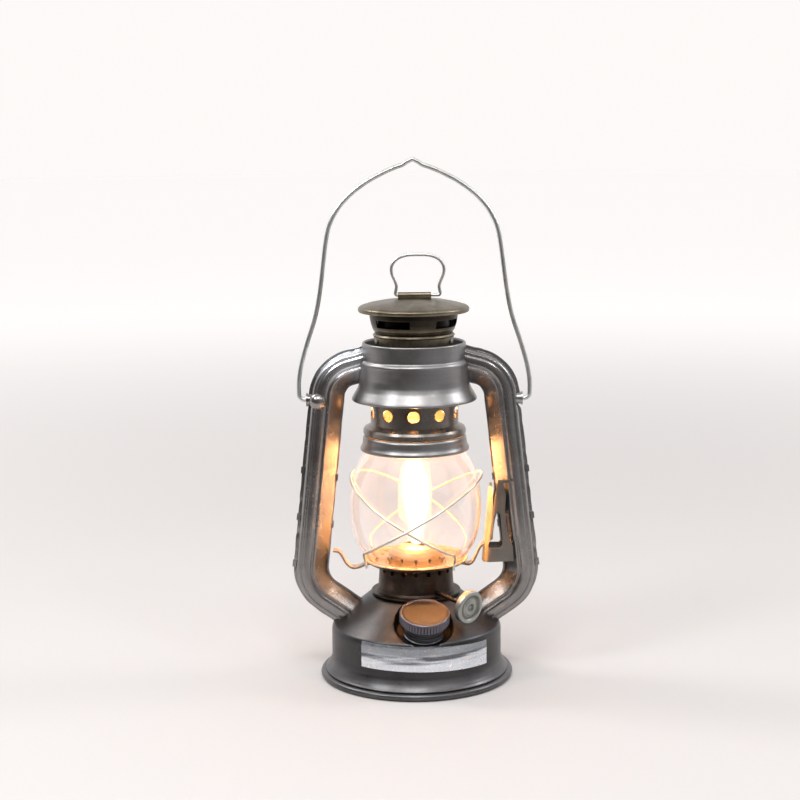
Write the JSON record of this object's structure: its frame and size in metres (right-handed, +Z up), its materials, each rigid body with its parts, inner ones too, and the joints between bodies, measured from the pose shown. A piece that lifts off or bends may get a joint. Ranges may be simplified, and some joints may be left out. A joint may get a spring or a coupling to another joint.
{
  "type": "barn lantern",
  "caption": "Small tubular oil lantern with a lifting glass globe, sliding vented chimney, screw filler cap, wick knob, hinged carry ring and wire bail.",
  "frame": {"origin": "centre of the foot's underside", "axes": "+Z up through the chimney, front with the filler cap towards -Y, wick knob and globe lifter on the +X side"},
  "size_m": [0.1146, 0.0892, 0.2393],
  "materials": {
    "tank_steel": "satin dark steel, lightly mottled",
    "seat_steel": "dark satin steel in the filler recess",
    "tube_steel": "bare drawn steel, satin to bright",
    "hood_steel": "bare drawn steel, satin",
    "collar_steel": "steel warmed by heat",
    "heat_bronze": "heat-tinted bronze brown steel",
    "burner_brown": "brown oxidised steel",
    "plate_steel": "thin steel lit and warmed by the flame",
    "tinplate": "soft tin plate with a knurled edge",
    "zinc": "bright zinc plate",
    "wire_steel": "galvanised wire",
    "brass": "dull brass",
    "foil": "plain metallic foil label, blank",
    "globe_glass": "clear blown glass",
    "wick_cotton": "woven cotton wick",
    "gasket_cork": "dark cork gasket"
  },
  "bodies": {
    "frame": {"tank_shell": "tank_steel", "tank_bottom": "tank_steel", "label_plate": "foil", "filler_seat": "seat_steel", "filler_neck": "seat_steel", "burner_collar": "burner_brown", "burner_body": "burner_brown", "burner_cone": "burner_brown", "wick_tube": "brass", "left_tube_front": "tube_steel", "left_tube_rear": "tube_steel", "right_tube_front": "tube_steel", "right_tube_rear": "tube_steel", "left_bail_ear": "zinc", "right_bail_ear": "zinc", "tube_crimps": "tube_steel", "hood": "hood_steel", "hood_top": "heat_bronze"},
    "cap_seal": {"cap_gasket": "gasket_cork"},
    "cap_shell": {"filler_cap": "tinplate"},
    "wick_drive": {"wick_shaft": "zinc", "spur_wheels": "brass", "wick_knob": "zinc"},
    "wick_strip": {"wick": "wick_cotton"},
    "globe_carriage": {"globe_plate": "plate_steel", "plate_arms": "plate_steel", "globe": "globe_glass", "guard_left": "wire_steel", "guard_right": "wire_steel"},
    "lifter": {"globe_lifter": "plate_steel"},
    "chimney": {"chimney_sleeve": "heat_bronze", "draught_collar": "collar_steel", "globe_cup": "hood_steel", "vent_basket": "heat_bronze", "chimney_cap": "heat_bronze", "sleeve_rivets": "zinc", "ring_clip": "heat_bronze"},
    "ring": {"carry_ring": "wire_steel"},
    "bail_handle": {"bail": "wire_steel"}
  },
  "joints": [
    {"name": "globe_lift", "type": "slide", "parent": "frame", "child": "globe_carriage", "axis": [0, 0, 1], "range_m": [0, 0.008]},
    {"name": "lifter_slide", "type": "slide", "parent": "frame", "child": "lifter", "axis": [-0.1063, 0, 0.9943], "range_m": [0, 0.0082]},
    {"name": "chimney_lift", "type": "slide", "parent": "globe_carriage", "child": "chimney", "axis": [0, 0, 1], "range_m": [0, 0.009]},
    {"name": "ring_swing", "type": "hinge", "parent": "chimney", "child": "ring", "pos_m": [0, 0, 0.1771], "axis": [1, 0, 0], "range_deg": [-84, 84]},
    {"name": "bail_swing", "type": "hinge", "parent": "frame", "child": "bail_handle", "pos_m": [0, 0, 0.1295], "axis": [1, 0, 0], "range_deg": [-150, 150]},
    {"name": "wick_turn", "type": "hinge", "parent": "frame", "child": "wick_drive", "pos_m": [-0.00237, -0.00229, 0.0446], "axis": [0.6879, -0.7123, -0.1392], "range_deg": [-180, 90]},
    {"name": "wick_rise", "type": "slide", "parent": "frame", "child": "wick_strip", "axis": [0, 0, 1], "range_m": [-0.00816, 0.00408]},
    {"name": "cap_rise", "type": "slide", "parent": "frame", "child": "cap_seal", "axis": [0.038, -0.3233, 0.9455], "range_m": [0, 0.0044]},
    {"name": "cap_spin", "type": "hinge", "parent": "cap_seal", "child": "cap_shell", "pos_m": [0.00369, -0.03141, 0.03598], "axis": [0.038, -0.3233, 0.9455], "range_deg": [0, 720]}
  ],
  "couplings": [
    {"joint": "lifter_slide", "follows": "globe_lift", "ratio": 1.0057},
    {"joint": "wick_turn", "follows": "wick_rise", "rad_per_m": 384.6},
    {"joint": "cap_spin", "follows": "cap_rise", "rad_per_m": 2855.9}
  ]
}
